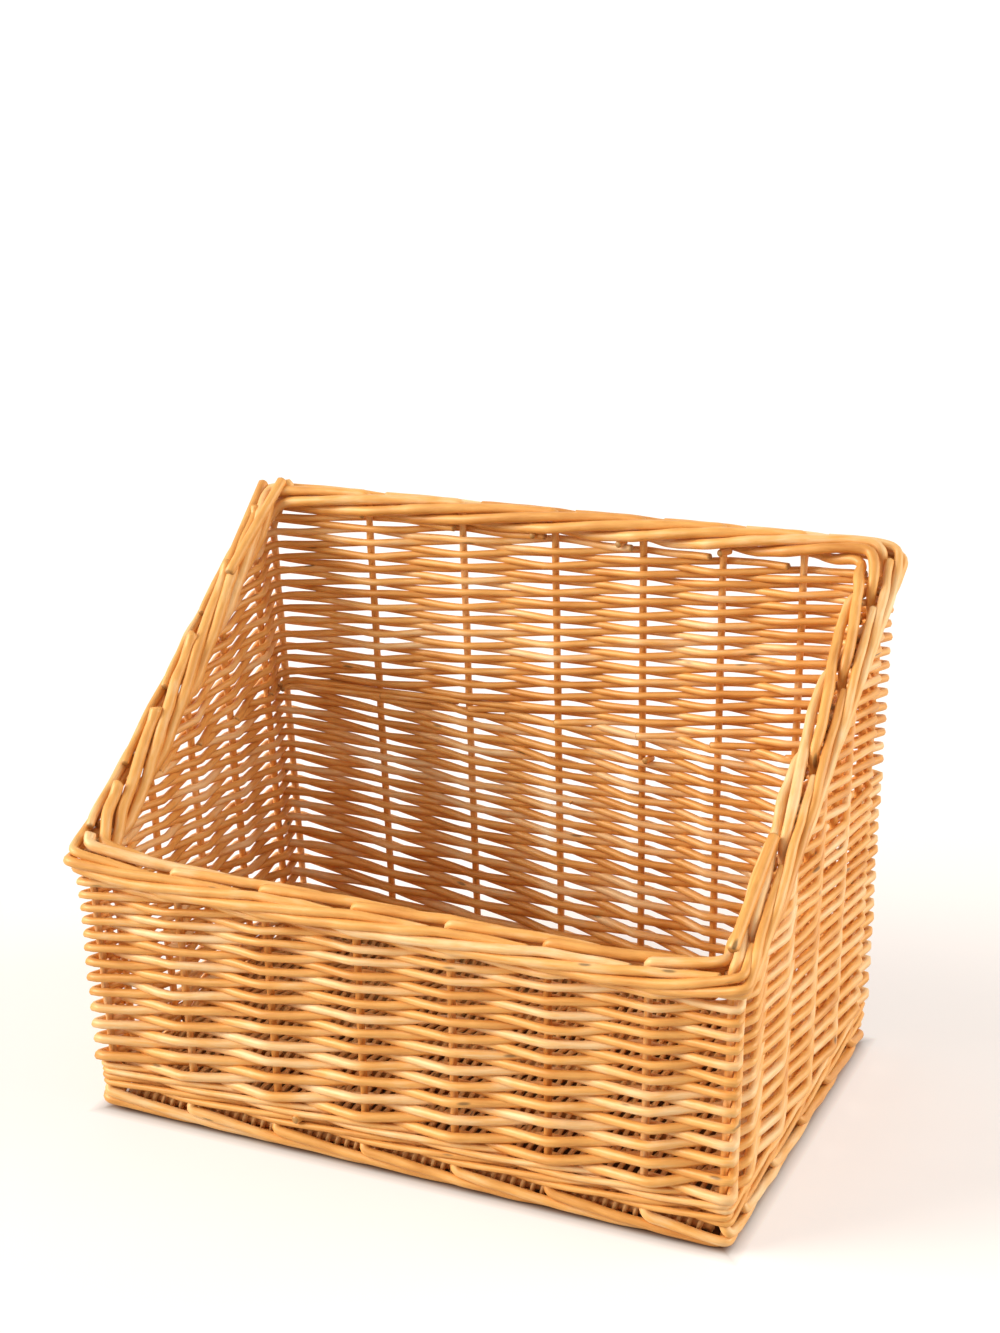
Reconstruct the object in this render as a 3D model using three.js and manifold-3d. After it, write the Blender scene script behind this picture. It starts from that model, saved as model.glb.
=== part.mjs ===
// A willow storage basket with a tall back, a low front and straight sloping sides.
// Millimetres, +Z up. The origin is the middle of the footprint on the ground,
// +X runs along the width and +Y towards the tall back.

import * as THREE from 'three';
import { mergeVertices } from 'three/addons/utils/BufferGeometryUtils.js';
import Module from 'manifold-3d';

const wasm = await Module();
wasm.setup();

// Driving dimensions

const BASE_WIDTH = 400; // outside of the woven walls at the ground, left to right
const BASE_DEPTH = 252; // outside of the woven walls, front to back
const FRONT_HEIGHT = 168; // top of the border on the front wall
const BACK_HEIGHT = 324; // top of the border on the back wall
const SIDE_LEAN = 10.2; // how far each side wall leans out at the height of the back
const CORNER_RADIUS = 12; // bend of the walls at a corner, on the line of the stakes

const STAKE_DIAMETER = 4.4; // the upright rods, which also make both borders
const WEAVER_DIAMETER = 4; // the rods woven in and out between the stakes
const BASE_STICK_DIAMETER = 6;
const BASE_WEAVER_DIAMETER = 3.4;

const ROD_GAP = 0.7; // free space between neighbouring rods of a border
const CLEARANCE = 0.3; // free space between pieces that fit each other

const BORDER_REACH = 4.8; // how far the top border stands out from the wall
const BORDER_IN = 5.4; // a stake turns into the border this far inside the line of the stakes
const BORDER_ROLL = 6; // radius at which its rods roll over the edge
const BORDER_BAYS = 3.5; // bays that a stake's end runs along in the border
const BORDER_RISER = 16; // length over which a stake shifts inwards below the border

const FOOT_HEIGHT = 14; // top of the foot border
const FOOT_OUT = 3.4; // the foot border lies this far outside the line of the stakes
const FOOT_ROLL = 6; // radius at which its rods roll under
const FOOT_LEVEL_BAYS = 0.4; // last stretch of each rod, level on the ground
const FOOT_FLAT = 0.5; // depth to which that stretch is worn flat
const FOOT_RISER = 9; // length over which a stake shifts outwards above the foot border
const STAKE_BEND = 5; // length that a stake takes to turn into a border

const BASE_LIFT = 8; // underside of the base above the ground
const UPSETT_GAP = 2.5; // open strip between the foot border and the upsett
const UPSETT_HEIGHT = 15.5; // the band of heavier weaving that starts the walls
const BAND_RISE = 20; // the upper weave starts this far above the front rim

// Relative widths of the bays between stakes, along each wall from corner stake to corner stake.
// The order is anticlockwise seen from above, starting at the front left corner.
const FRONT_BAYS = [1, 1, 1, 1, 1, 1, 0.8];
const SIDE_BAYS = [0.5, 1, 1, 1, 1, 0.5];
const BACK_BAYS = [0.67, 0.71, 0.72, 0.82, 0.89, 0.93, 1];

// Colour and roughness of the willow
const STAKE_FINISH = { color: 0xd9a15c, roughness: 0.5 };
const BASE_STICK_FINISH = { color: 0xc58a48, roughness: 0.6 };
const BASE_WEAVE_FINISH = { color: 0xc98f4c, roughness: 0.6 };
const UPSETT_FINISH = { color: 0xcf9550, roughness: 0.55 };
const LOWER_WEAVE_FINISH = { color: 0xe0ab66, roughness: 0.55 };
const UPPER_WEAVE_FINISH = { color: 0xe3b06c, roughness: 0.55 };

// Facets of the round pieces
const ROD_SIDES = 6;
const CHANNEL_SIDES = 4;
const STICK_SIDES = 10;
const CORNER_STEPS = 4;
const TAIL_STEP = 0.5; // bays between the sections of a border rod
const BEND_STEPS = 3;
const WAVE_STEPS = [0, 0.2, 0.35, 0.5, 0.65, 0.8]; // parts of a bay at which the weave has a fold
const WRAP_STEPS = 4; // folds of a weaver round an edge stick

// Sizes that follow from the driving dimensions

const stakeRadius = STAKE_DIAMETER / 2;
const wall = STAKE_DIAMETER + 2 * WEAVER_DIAMETER;
const halfWall = wall / 2;
const halfWidth = BASE_WIDTH / 2 - halfWall;
const halfDepth = BASE_DEPTH / 2 - halfWall;
const straightX = halfWidth - CORNER_RADIUS;
const straightY = halfDepth - CORNER_RADIUS;
const rimSlope = (BACK_HEIGHT - FRONT_HEIGHT) / (2 * halfDepth);
const rimTilt = Math.atan(rimSlope);
const rodLay = STAKE_DIAMETER + ROD_GAP;

const borderStart = -BORDER_IN;
const borderEnd = halfWall + BORDER_REACH - stakeRadius;
const borderTop = -stakeRadius;

// The weaving ends below the border, where its outer edge fits inside the rolled rods
const rollInside = BORDER_ROLL - stakeRadius - CLEARANCE;
const rollOverhang = BORDER_ROLL - BORDER_REACH + stakeRadius;
const rollRoom = Math.sqrt(Math.max(0, rollInside ** 2 - rollOverhang ** 2));
const panelDrop = stakeRadius + BORDER_ROLL - rollRoom;

const footBottom = stakeRadius - FOOT_FLAT;
const footTop = FOOT_HEIGHT - stakeRadius;
const footDrop = footTop - FOOT_ROLL - footBottom;
const footBays = (footDrop + FOOT_ROLL * Math.PI / 2) / rodLay + FOOT_LEVEL_BAYS;

const baseThickness = BASE_STICK_DIAMETER + 2 * BASE_WEAVER_DIAMETER;
const baseTop = BASE_LIFT + baseThickness;
const baseInset = stakeRadius + CLEARANCE;
const upsettBottom = FOOT_HEIGHT + UPSETT_GAP;
const upsettTop = upsettBottom + UPSETT_HEIGHT;
const lowerTop = FRONT_HEIGHT + BAND_RISE;

// The line of the stakes

// The plan of the walls is a rounded rectangle, walked anticlockwise from the middle of
// the front left corner. Each stretch gives a point and its outward normal.
function straightStretch(length, x, y, normalX, normalY) {
  const pointAt = (distance) => ({
    x: x - normalY * distance,
    y: y + normalX * distance,
    normalX,
    normalY,
  });
  return { length, pointAt };
}

function cornerStretch(x, y, fromAngle, toAngle) {
  const pointAt = (distance) => {
    const angle = fromAngle + distance / CORNER_RADIUS;
    const normalX = Math.cos(angle);
    const normalY = Math.sin(angle);
    return { x: x + CORNER_RADIUS * normalX, y: y + CORNER_RADIUS * normalY, normalX, normalY };
  };
  return { length: CORNER_RADIUS * (toAngle - fromAngle), pointAt };
}

const quarter = Math.PI / 2;
const stretches = [
  cornerStretch(-straightX, -straightY, -1.5 * quarter, -quarter),
  straightStretch(2 * straightX, -straightX, -halfDepth, 0, -1),
  cornerStretch(straightX, -straightY, -quarter, 0),
  straightStretch(2 * straightY, halfWidth, -straightY, 1, 0),
  cornerStretch(straightX, straightY, 0, quarter),
  straightStretch(2 * straightX, straightX, halfDepth, 0, 1),
  cornerStretch(-straightX, straightY, quarter, 2 * quarter),
  straightStretch(2 * straightY, -halfWidth, straightY, -1, 0),
  cornerStretch(-straightX, -straightY, 2 * quarter, 2.5 * quarter),
];
const perimeter = stretches.reduce((sum, stretch) => sum + stretch.length, 0);

function loopAt(distance) {
  let rest = ((distance % perimeter) + perimeter) % perimeter;
  for (const stretch of stretches) {
    if (rest <= stretch.length) {
      return stretch.pointAt(rest);
    }
    rest -= stretch.length;
  }
  return stretches[0].pointAt(0);
}

// Places on the loop where a rod needs a section to turn the corner
const cornerArc = CORNER_RADIUS * quarter;
const cornerMiddles = [
  0,
  2 * straightX + cornerArc,
  2 * straightX + 2 * straightY + 2 * cornerArc,
  4 * straightX + 2 * straightY + 3 * cornerArc,
  perimeter,
];
const cornerKnots = [];
for (const turn of [0, perimeter]) {
  for (const middle of cornerMiddles.slice(0, 4)) {
    for (let step = 0; step <= CORNER_STEPS; step += 1) {
      cornerKnots.push(turn + middle + (step / CORNER_STEPS - 0.5) * cornerArc);
    }
  }
}

// Places of the stakes along the loop, four corner stakes and those of the walls between them
const wallNames = ['front', 'right', 'back', 'left'];
const cornerNames = ['front_left', 'front_right', 'back_right', 'back_left'];
const wallBays = [FRONT_BAYS, SIDE_BAYS, BACK_BAYS, SIDE_BAYS];
const stakes = [];
wallBays.forEach((bays, wallIndex) => {
  const start = cornerMiddles[wallIndex];
  const run = cornerMiddles[wallIndex + 1] - start;
  const total = bays.reduce((sum, bay) => sum + bay, 0);
  stakes.push({ name: `corner_stake_${cornerNames[wallIndex]}`, place: start });
  let passed = 0;
  bays.slice(0, -1).forEach((bay, bayIndex) => {
    passed += bay;
    const name = `${wallNames[wallIndex]}_stake_${bayIndex + 1}`;
    stakes.push({ name, place: start + run * passed / total, wall: wallNames[wallIndex] });
  });
});

// The place on the loop of a stake number, which may lie between two stakes or past the last one
function placeOf(number) {
  const whole = Math.floor(number);
  const at = (index) => {
    const turns = Math.floor(index / stakes.length);
    return stakes[index - turns * stakes.length].place + turns * perimeter;
  };
  return at(whole) + (number - whole) * (at(whole + 1) - at(whole));
}

// Points of a rod

const rimHeight = (y) => FRONT_HEIGHT + rimSlope * (y + halfDepth);

// A point of a wall at a height above the ground, set out from the line of the stakes
function wallPoint(place, out, height) {
  const { x, y, normalX, normalY } = loopAt(place);
  return new THREE.Vector3(x + normalX * out, y + normalY * out, height);
}

// A point near the rim, set out from the wall and up square to the rim
function rimPoint(place, out, up) {
  const { x, y, normalX, normalY } = loopAt(place);
  const normal = new THREE.Vector3(normalX, normalY, 0);
  const along = new THREE.Vector3(-normalY, normalX, rimSlope * normalX).normalize();
  const square = normal.clone().cross(along);
  return new THREE.Vector3(x, y, rimHeight(y)).addScaledVector(normal, out).addScaledVector(square, up);
}

// Where a rod lies in the top border after some bays: level over the edge, then rolled down
function borderLay(bays) {
  const travel = bays * rodLay;
  const level = borderEnd - BORDER_ROLL - borderStart;
  if (travel < level) {
    return { out: borderStart + travel, up: borderTop };
  }
  const angle = Math.min((travel - level) / BORDER_ROLL, quarter);
  const below = travel - level - angle * BORDER_ROLL;
  return {
    out: borderStart + level + BORDER_ROLL * Math.sin(angle),
    up: borderTop - BORDER_ROLL * (1 - Math.cos(angle)) - below,
  };
}

// Where a rod lies in the foot border after some bays: down, then rolled under and level
function footLay(bays) {
  const travel = bays * rodLay;
  if (travel < footDrop) {
    return { out: FOOT_OUT, height: footTop - travel };
  }
  const angle = Math.min((travel - footDrop) / FOOT_ROLL, quarter);
  const inwards = travel - footDrop - angle * FOOT_ROLL;
  return {
    out: FOOT_OUT - FOOT_ROLL * (1 - Math.cos(angle)) - inwards,
    height: footTop - footDrop - FOOT_ROLL * Math.sin(angle),
  };
}

// The bays at which a border rod has a section: even steps and the bends at the corners
function tailBays(number, firstBay, lastBay) {
  const bays = [];
  for (let bay = TAIL_STEP; bay < lastBay; bay += TAIL_STEP) {
    bays.push(bay);
  }
  for (let bay = 0; bay < lastBay; bay += 1) {
    const from = placeOf(number + bay);
    const to = placeOf(number + bay + 1);
    for (const knot of cornerKnots) {
      if (knot > from && knot < to) {
        bays.push(bay + (knot - from) / (to - from));
      }
    }
  }
  bays.sort((a, b) => a - b);
  const kept = [firstBay];
  for (const bay of bays) {
    const passed = placeOf(number + bay) - placeOf(number + kept.at(-1));
    const left = placeOf(number + lastBay) - placeOf(number + bay);
    if (passed > stakeRadius && left > stakeRadius) {
      kept.push(bay);
    }
  }
  return [...kept, lastBay];
}

// A round bend between two points, pulled towards the point where their straight runs would meet
function bendPoints(from, corner, to) {
  const curve = new THREE.QuadraticBezierCurve3(from, corner, to);
  return curve.getPoints(BEND_STEPS);
}

// The upright part of a stake, from its bend at the foot to its bend at the top
function uprightPoints(number) {
  const place = placeOf(number);
  const bay = placeOf(number + 1) - place;
  const bendBays = STAKE_BEND / bay;
  const footStart = footLay(bendBays);
  const footFrom = wallPoint(place + STAKE_BEND, footStart.out, footStart.height);
  const footCorner = wallPoint(place, FOOT_OUT, footStart.height);
  const footTo = wallPoint(place, FOOT_OUT, footTop + stakeRadius);
  const borderFirst = borderLay(bendBays);
  const top = rimPoint(place, borderStart, borderTop).z;
  const borderFrom = wallPoint(place, borderStart, top - STAKE_BEND);
  const borderCorner = wallPoint(place, borderStart, top);
  const borderTo = rimPoint(place + STAKE_BEND, borderFirst.out, borderFirst.up);
  return [
    ...bendPoints(footFrom, footCorner, footTo),
    wallPoint(place, 0, footTop + stakeRadius + FOOT_RISER),
    wallPoint(place, 0, top - STAKE_BEND - BORDER_RISER),
    ...bendPoints(borderFrom, borderCorner, borderTo),
  ];
}

// The ends of a stake that run along in the foot border and in the top border
function footPoints(number) {
  const bend = STAKE_BEND / (placeOf(number + 1) - placeOf(number));
  return tailBays(number, bend, footBays).map((bays) => {
    const lay = footLay(bays);
    return wallPoint(placeOf(number + bays), lay.out, lay.height);
  });
}

function borderPoints(number) {
  const bend = STAKE_BEND / (placeOf(number + 1) - placeOf(number));
  return tailBays(number, bend, BORDER_BAYS).map((bays) => {
    const lay = borderLay(bays);
    return rimPoint(placeOf(number + bays), lay.out, lay.up);
  });
}

// A whole stake: its end in the foot border, the upright and its end in the top border
function stakePoints(number) {
  const foot = footPoints(number).slice(1).reverse();
  const border = borderPoints(number).slice(1);
  return [...foot, ...uprightPoints(number), ...border];
}

// Solids

// A path with a section at each of its points
class RodPath extends THREE.Curve {
  constructor(points) {
    super();
    this.points = points;
  }

  getPoint(t, target = new THREE.Vector3()) {
    const scaled = t * (this.points.length - 1);
    const index = Math.min(Math.floor(scaled), this.points.length - 2);
    return target.lerpVectors(this.points[index], this.points[index + 1], scaled - index);
  }

  getPointAt(u, target) {
    return this.getPoint(u, target);
  }

  getTangentAt(u, target = new THREE.Vector3()) {
    const last = this.points.length - 1;
    const index = Math.round(u * last);
    const before = this.points[Math.max(index - 1, 0)];
    const here = this.points[index];
    const after = this.points[Math.min(index + 1, last)];
    const arriving = here.clone().sub(before).normalize();
    const leaving = after.clone().sub(here).normalize();
    return target.copy(arriving).add(leaving).normalize();
  }
}

function solidOf(geometry) {
  geometry.deleteAttribute('normal');
  geometry.deleteAttribute('uv');
  const merged = mergeVertices(geometry);
  return new wasm.Manifold(new wasm.Mesh({
    numProp: 3,
    vertProperties: new Float32Array(merged.attributes.position.array),
    triVerts: new Uint32Array(merged.index.array),
  }));
}

function rod(points, radius, sides) {
  const section = new THREE.Shape();
  for (let side = 0; side < sides; side += 1) {
    const angle = (side / sides) * 2 * Math.PI;
    const corner = [radius * Math.cos(angle), radius * Math.sin(angle)];
    if (side === 0) {
      section.moveTo(...corner);
    } else {
      section.lineTo(...corner);
    }
  }
  const path = new RodPath(points);
  return solidOf(new THREE.ExtrudeGeometry(section, { steps: points.length - 1, extrudePath: path }));
}

function prism(shape, bottom, top) {
  const geometry = new THREE.ExtrudeGeometry(shape, {
    depth: top - bottom,
    bevelEnabled: false,
    curveSegments: CORNER_STEPS,
  });
  return solidOf(geometry.translate(0, 0, bottom));
}

// The rounded plan of the walls, set out by some distance from the line of the stakes
function planPath(target, out) {
  const x = straightX;
  const y = straightY;
  const radius = CORNER_RADIUS + out;
  target.moveTo(-x, -y - radius);
  target.lineTo(x, -y - radius);
  target.absarc(x, -y, radius, -quarter, 0);
  target.lineTo(x + radius, y);
  target.absarc(x, y, radius, 0, quarter);
  target.lineTo(-x, y + radius);
  target.absarc(-x, y, radius, quarter, 2 * quarter);
  target.lineTo(-x - radius, -y);
  target.absarc(-x, -y, radius, 2 * quarter, 3 * quarter);
  return target;
}

// A wall of even thickness, as thick as a stake with a weaver on both sides
function evenRing() {
  const ring = planPath(new THREE.Shape(), halfWall);
  ring.holes.push(planPath(new THREE.Path(), -halfWall));
  return prism(ring, 0, BACK_HEIGHT);
}

// Half the thickness of weaving, some bays after a stake or stick: a weaver on both sides of it
// there, and a single weaver halfway to the next
function wovenHalf(bays, thick, weaver) {
  return weaver / 2 + (thick - weaver / 2) * Math.abs(Math.cos(Math.PI * bays));
}

// The stake numbers at which the weave has a fold: in each bay and at the bends of the corners
function foldNumbers() {
  const numbers = [];
  stakes.forEach((stake, number) => {
    WAVE_STEPS.forEach((step) => numbers.push(number + step));
    const next = placeOf(number + 1);
    cornerKnots.filter((knot) => knot > stake.place && knot < next).forEach((knot) => {
      numbers.push(number + (knot - stake.place) / (next - stake.place));
    });
  });
  numbers.sort((a, b) => a - b);
  return numbers.filter((number, index) => (
    index === 0 || placeOf(number) - placeOf(numbers[index - 1]) > CLEARANCE
  ));
}

// A wall of weavers, which swells at every stake
function wovenRing() {
  const sidePoints = (side) => foldNumbers().map((number) => {
    const out = side * wovenHalf(number, halfWall, WEAVER_DIAMETER);
    const { x, y } = wallPoint(placeOf(number), out, 0);
    return new THREE.Vector2(x, y);
  });
  const ring = new THREE.Shape(sidePoints(1));
  ring.holes.push(new THREE.Path(sidePoints(-1)));
  return prism(ring, 0, BACK_HEIGHT);
}

// The plan of one wall, mitred against its neighbours at the corners
function wallWedge(wallIndex) {
  const reach = CORNER_RADIUS + wall;
  const gap = CLEARANCE * Math.SQRT1_2;
  const alongX = wallIndex % 2 === 0;
  const half = (alongX ? straightX : straightY) - gap;
  const inner = alongX ? straightY : straightX;
  const wedge = new THREE.Shape();
  wedge.moveTo(-half, -inner);
  wedge.lineTo(-half - reach, -inner - reach);
  wedge.lineTo(half + reach, -inner - reach);
  wedge.lineTo(half, -inner);
  const turn = new THREE.Matrix4().makeRotationZ(wallIndex * quarter);
  return { wedge, turn };
}

function wallBlock(wallIndex, bottom, top) {
  const { wedge, turn } = wallWedge(wallIndex);
  const geometry = new THREE.ExtrudeGeometry(wedge, { depth: top - bottom, bevelEnabled: false });
  geometry.translate(0, 0, bottom).applyMatrix4(turn);
  return solidOf(geometry);
}

// The space below the sloping border of the side walls
function underSlope() {
  const reach = BASE_DEPTH;
  const drop = panelDrop / Math.cos(rimTilt);
  const side = new THREE.Shape();
  side.moveTo(-reach, -reach);
  side.lineTo(reach, -reach);
  side.lineTo(reach, rimHeight(reach) - drop);
  side.lineTo(-reach, rimHeight(-reach) - drop);
  const geometry = new THREE.ExtrudeGeometry(side, { depth: 2 * BASE_WIDTH, bevelEnabled: false });
  const across = new THREE.Matrix4().makeBasis(
    new THREE.Vector3(0, 1, 0),
    new THREE.Vector3(0, 0, 1),
    new THREE.Vector3(1, 0, 0),
  );
  geometry.translate(0, 0, -BASE_WIDTH).applyMatrix4(across);
  return solidOf(geometry);
}

function stick(radius, length, y, height) {
  const geometry = new THREE.CylinderGeometry(radius, radius, length, STICK_SIDES);
  geometry.rotateZ(quarter).translate(0, y, height);
  return solidOf(geometry);
}

// Sub-parts

const basket = new THREE.Group();

// The side walls lean out and the front and back widen with them: across the width,
// every point moves out in step with its height.
function lean(geometry) {
  const position = geometry.attributes.position;
  const rate = SIDE_LEAN / (BACK_HEIGHT * halfWidth);
  for (let index = 0; index < position.count; index += 1) {
    position.setX(index, position.getX(index) * (1 + rate * position.getZ(index)));
  }
}

function addPart(name, solid, finish) {
  const mesh = solid.getMesh();
  const geometry = new THREE.BufferGeometry();
  geometry.setAttribute('position', new THREE.BufferAttribute(new Float32Array(mesh.vertProperties), 3));
  geometry.setIndex(new THREE.BufferAttribute(new Uint32Array(mesh.triVerts), 1));
  lean(geometry);
  geometry.computeVertexNormals();
  const material = new THREE.MeshStandardMaterial({ ...finish, metalness: 0 });
  const part = new THREE.Mesh(geometry, material);
  part.name = name;
  basket.add(part);
}

// The stakes, each one rod from the foot border to the top border, worn flat on the ground
const groundShape = planPath(new THREE.Shape(), wall);
const ground = prism(groundShape, -STAKE_DIAMETER, 0);
stakes.forEach((stake, number) => {
  const solid = rod(stakePoints(number), stakeRadius, ROD_SIDES).subtract(ground);
  addPart(stake.name, solid, STAKE_FINISH);
});

// The room that the stakes take up in the weaving: a channel for each upright, and for its border end
const channelRadius = (stakeRadius + CLEARANCE) / Math.cos(Math.PI / CHANNEL_SIDES);
const stakeRoom = stakes.flatMap((stake, number) => [
  rod(uprightPoints(number), channelRadius, CHANNEL_SIDES),
  rod(borderPoints(number), stakeRadius + CLEARANCE, ROD_SIDES),
]);

// The base: sticks from side to side, one more along its front and back edge, and the weaving
// over and under them
const basePlan = (extra) => planPath(new THREE.Shape(), extra - baseInset);
const stickRadius = BASE_STICK_DIAMETER / 2;
const stickHeight = BASE_LIFT + baseThickness / 2;
const stickLength = 2 * (halfWidth - baseInset);
const edgePlace = halfDepth - baseInset - BASE_WEAVER_DIAMETER - stickRadius;
const sideStakes = stakes.filter((stake) => stake.wall === 'right');
const baseSticks = [
  { name: 'base_edge_stick_front', y: -edgePlace, length: 2 * straightX },
  ...sideStakes.map((stake, index) => (
    { name: `base_stick_${index + 1}`, y: loopAt(stake.place).y, length: stickLength }
  )),
  { name: 'base_edge_stick_back', y: edgePlace, length: 2 * straightX },
];

// The section of the base from front to back: it swells at every stick and is round at the edges
function baseSection() {
  const thick = baseThickness / 2;
  const upper = [];
  for (let step = 0; step < WRAP_STEPS; step += 1) {
    const angle = (step / WRAP_STEPS) * quarter;
    upper.push([-edgePlace - thick * Math.cos(angle), thick * Math.sin(angle)]);
  }
  baseSticks.slice(0, -1).forEach((front, index) => {
    const back = baseSticks[index + 1];
    WAVE_STEPS.forEach((step) => {
      const y = THREE.MathUtils.lerp(front.y, back.y, step);
      upper.push([y, wovenHalf(step, thick, BASE_WEAVER_DIAMETER)]);
    });
  });
  for (let step = WRAP_STEPS; step > 0; step -= 1) {
    const angle = (step / WRAP_STEPS) * quarter;
    upper.push([edgePlace + thick * Math.cos(angle), thick * Math.sin(angle)]);
  }
  const lower = upper.slice(1).reverse().map(([y, height]) => [y, -height]);
  const end = [edgePlace + thick, 0];
  const points = [...upper, end, ...lower].map(([y, height]) => new THREE.Vector2(y, height));
  const geometry = new THREE.ExtrudeGeometry(new THREE.Shape(points), {
    depth: BASE_WIDTH,
    bevelEnabled: false,
  });
  const across = new THREE.Matrix4().makeBasis(
    new THREE.Vector3(0, 1, 0),
    new THREE.Vector3(0, 0, 1),
    new THREE.Vector3(1, 0, 0),
  );
  geometry.translate(0, 0, -BASE_WIDTH / 2).applyMatrix4(across).translate(0, 0, stickHeight);
  return solidOf(geometry);
}

let baseWeave = prism(basePlan(0), BASE_LIFT - CLEARANCE, baseTop + CLEARANCE).intersect(baseSection());
baseSticks.forEach(({ name, y, length }) => {
  const hole = (stickRadius + CLEARANCE) / Math.cos(Math.PI / STICK_SIDES);
  baseWeave = baseWeave.subtract(stick(hole, stickLength + wall, y, stickHeight));
  addPart(name, stick(stickRadius, length, y, stickHeight), BASE_STICK_FINISH);
});
addPart('base_weave', baseWeave, BASE_WEAVE_FINISH);

// The walls: a band of heavier weaving, the weave up to the front rim and the weave above it
const upsettRing = evenRing();
const weaveRing = wovenRing();
const slope = underSlope();
const baseSpace = prism(basePlan(CLEARANCE), BASE_LIFT - CLEARANCE, baseTop + CLEARANCE);

function wallPart(name, ring, wallIndex, bottom, top, finish) {
  const sloping = wallIndex % 2 === 1;
  const block = ring.intersect(wallBlock(wallIndex, bottom, top));
  const cut = sloping ? block.intersect(slope) : block;
  const woven = stakeRoom.reduce((rest, room) => rest.subtract(room), cut.subtract(baseSpace));
  addPart(`${name}_${wallNames[wallIndex]}`, woven, finish);
}

// The rim already falls in the corners of the back, so the weave of the back ends lower by that much
const cornerFall = rimSlope * CORNER_RADIUS * (1 - Math.SQRT1_2);
const backTop = BACK_HEIGHT - panelDrop - cornerFall;
const rimTops = [FRONT_HEIGHT - panelDrop, BACK_HEIGHT, backTop, BACK_HEIGHT];
rimTops.forEach((rimTop, wallIndex) => {
  wallPart('upsett', upsettRing, wallIndex, upsettBottom, upsettTop, UPSETT_FINISH);
  const lowerEnd = Math.min(rimTop, lowerTop);
  wallPart('lower_weave', weaveRing, wallIndex, upsettTop + CLEARANCE, lowerEnd, LOWER_WEAVE_FINISH);
  if (rimTop > lowerTop) {
    wallPart('upper_weave', weaveRing, wallIndex, lowerTop + CLEARANCE, rimTop, UPPER_WEAVE_FINISH);
  }
});

export default basket;
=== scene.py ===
# %% [markdown]
# A willow storage basket, rod by rod. The solid model gives every piece as a plain closed body. In
# this lesson each of those bodies is replaced by the willow rods that the real basket is woven from.
# All lengths are written in millimetres, as a basket maker would say them, and turned into metres
# only when a mesh is made.

# %% Load the solid model
import math
import bpy
import numpy as np
from mathutils import Matrix, Vector


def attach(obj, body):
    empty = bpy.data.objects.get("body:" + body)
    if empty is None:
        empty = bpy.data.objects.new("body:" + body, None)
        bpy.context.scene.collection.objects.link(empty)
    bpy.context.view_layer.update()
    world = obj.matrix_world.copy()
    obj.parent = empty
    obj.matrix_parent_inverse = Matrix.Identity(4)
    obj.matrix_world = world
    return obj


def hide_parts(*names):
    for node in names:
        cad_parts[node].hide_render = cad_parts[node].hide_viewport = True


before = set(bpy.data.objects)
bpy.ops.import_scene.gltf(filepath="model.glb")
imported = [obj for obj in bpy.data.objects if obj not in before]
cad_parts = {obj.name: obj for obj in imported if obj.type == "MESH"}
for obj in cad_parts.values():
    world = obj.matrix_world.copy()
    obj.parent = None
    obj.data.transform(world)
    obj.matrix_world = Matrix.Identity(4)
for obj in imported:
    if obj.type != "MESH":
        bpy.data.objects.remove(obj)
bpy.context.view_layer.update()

# %% [markdown]
# The stakes stand on one line, a rectangle with rounded corners. Everything else is placed from that
# line: a place is a length walked along it, anticlockwise seen from above, starting in the middle of
# the front left corner. The line could be a Blender curve, but a formula can be asked for thousands
# of places at once, and it gives the outward direction of the wall for free.

# %% The line of the stakes
HALF_WIDTH = 193.8
HALF_DEPTH = 119.8
CORNER = 4.0
STRAIGHT_X = HALF_WIDTH - CORNER
STRAIGHT_Y = HALF_DEPTH - CORNER
ARC = CORNER * math.pi / 2
RIGHT_ANGLE = math.pi / 2

# Each stretch of the line: corner centre, direction it faces at its start, whether it bends, length
STRETCHES = np.array([
    (-STRAIGHT_X, -STRAIGHT_Y, -1.5 * RIGHT_ANGLE, 1, ARC / 2),
    (-STRAIGHT_X, -STRAIGHT_Y, -RIGHT_ANGLE, 0, 2 * STRAIGHT_X),
    (STRAIGHT_X, -STRAIGHT_Y, -RIGHT_ANGLE, 1, ARC),
    (STRAIGHT_X, -STRAIGHT_Y, 0, 0, 2 * STRAIGHT_Y),
    (STRAIGHT_X, STRAIGHT_Y, 0, 1, ARC),
    (STRAIGHT_X, STRAIGHT_Y, RIGHT_ANGLE, 0, 2 * STRAIGHT_X),
    (-STRAIGHT_X, STRAIGHT_Y, RIGHT_ANGLE, 1, ARC),
    (-STRAIGHT_X, STRAIGHT_Y, 2 * RIGHT_ANGLE, 0, 2 * STRAIGHT_Y),
    (-STRAIGHT_X, -STRAIGHT_Y, 2 * RIGHT_ANGLE, 1, ARC / 2),
])
STRETCH_STARTS = np.concatenate([[0], np.cumsum(STRETCHES[:, 4])])
PERIMETER = STRETCH_STARTS[-1]


def line_at(place, out=0.0):
    """Point and outward direction at each place, on the line or on a larger or smaller one beside it.

    The point is the corner centre, plus the corner radius in the direction the wall faces there,
    plus on a straight stretch the length walked at a right angle to that direction. A line further
    out has its corner centres further out too, so its corners stay as sharp.
    """
    walked = np.mod(place, PERIMETER)
    index = np.clip(np.searchsorted(STRETCH_STARTS, walked, side="right") - 1, 0, len(STRETCHES) - 1)
    centre_x, centre_y, facing, bends, total = np.moveaxis(STRETCHES[index], -1, 0)
    rest = walked - STRETCH_STARTS[index]
    angle = facing + bends * rest / CORNER
    slide = (1 - bends) * rest * (1 + 2 * out / total)
    normal_x = np.cos(angle)
    normal_y = np.sin(angle)
    x = centre_x + np.sign(centre_x) * out + CORNER * normal_x - slide * normal_y
    y = centre_y + np.sign(centre_y) * out + CORNER * normal_y + slide * normal_x
    return x, y, normal_x, normal_y


print("the line of the stakes is", round(PERIMETER), "mm long")

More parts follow.
